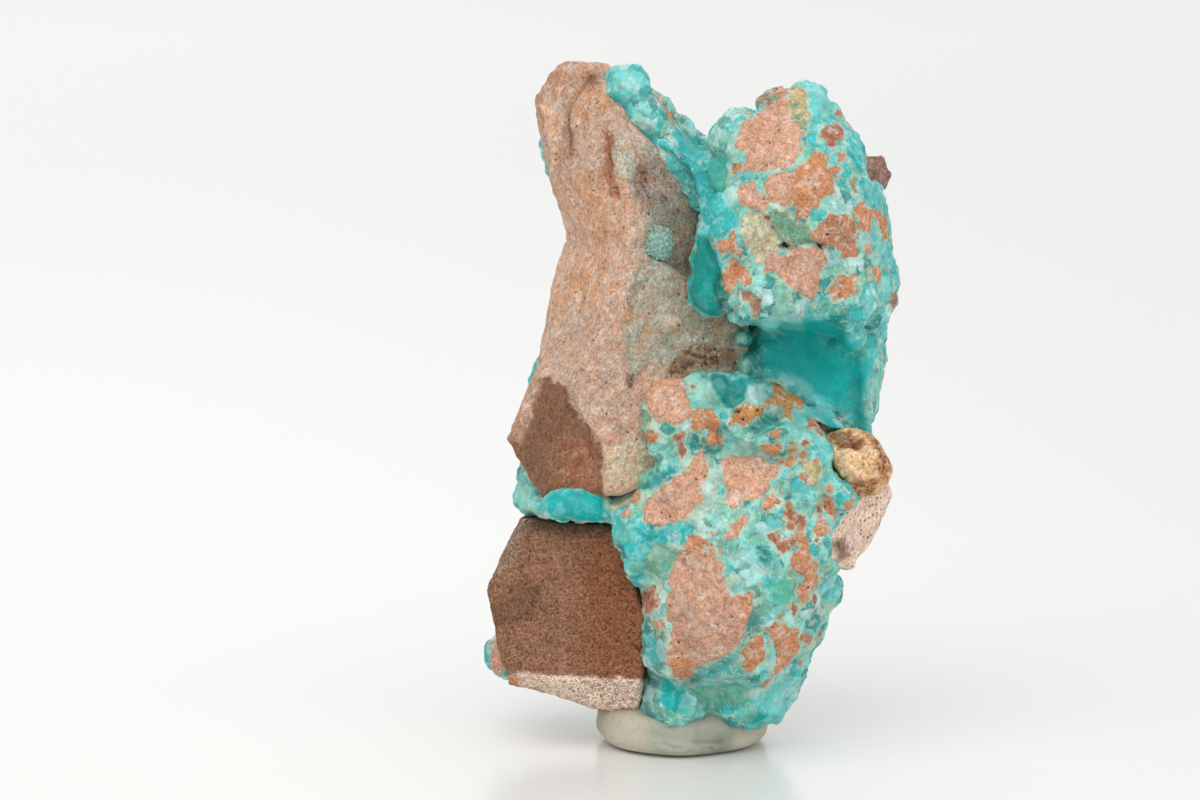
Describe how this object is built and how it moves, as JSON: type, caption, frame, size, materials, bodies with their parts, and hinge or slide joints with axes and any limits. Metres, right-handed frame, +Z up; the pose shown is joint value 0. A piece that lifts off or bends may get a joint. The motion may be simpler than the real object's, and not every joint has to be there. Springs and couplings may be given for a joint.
{
  "type": "mineral specimen",
  "caption": "Upright hand specimen of blue-green hemimorphite crust cementing pieces of brown rock, stood on a flat-bottomed pad of putty.",
  "frame": {"origin": "the middle of the specimen's outline seen from above, on the surface that the pad rests on", "axes": "+Z up through the specimen, -Y out of the face with the hollow, +X to the right of that face"},
  "size_m": [0.05, 0.0342, 0.0821],
  "materials": {
    "brown_rock": "rough broken sandstone",
    "pink_rock": "granular",
    "dark_rock": "smooth dark chip",
    "tan_rock": "weathered",
    "hemimorphite": "translucent botryoidal crust with a soft gloss",
    "putty": "soft, creased"
  },
  "bodies": {
    "root": {"upper_rock": "brown_rock", "lower_rock": "brown_rock", "side_rock": "pink_rock", "brown_chip": "dark_rock", "tan_nodule": "tan_rock", "hemimorphite_crust": "hemimorphite", "crystal_rosette": "hemimorphite", "putty_pad": "putty"}
  },
  "joints": []
}
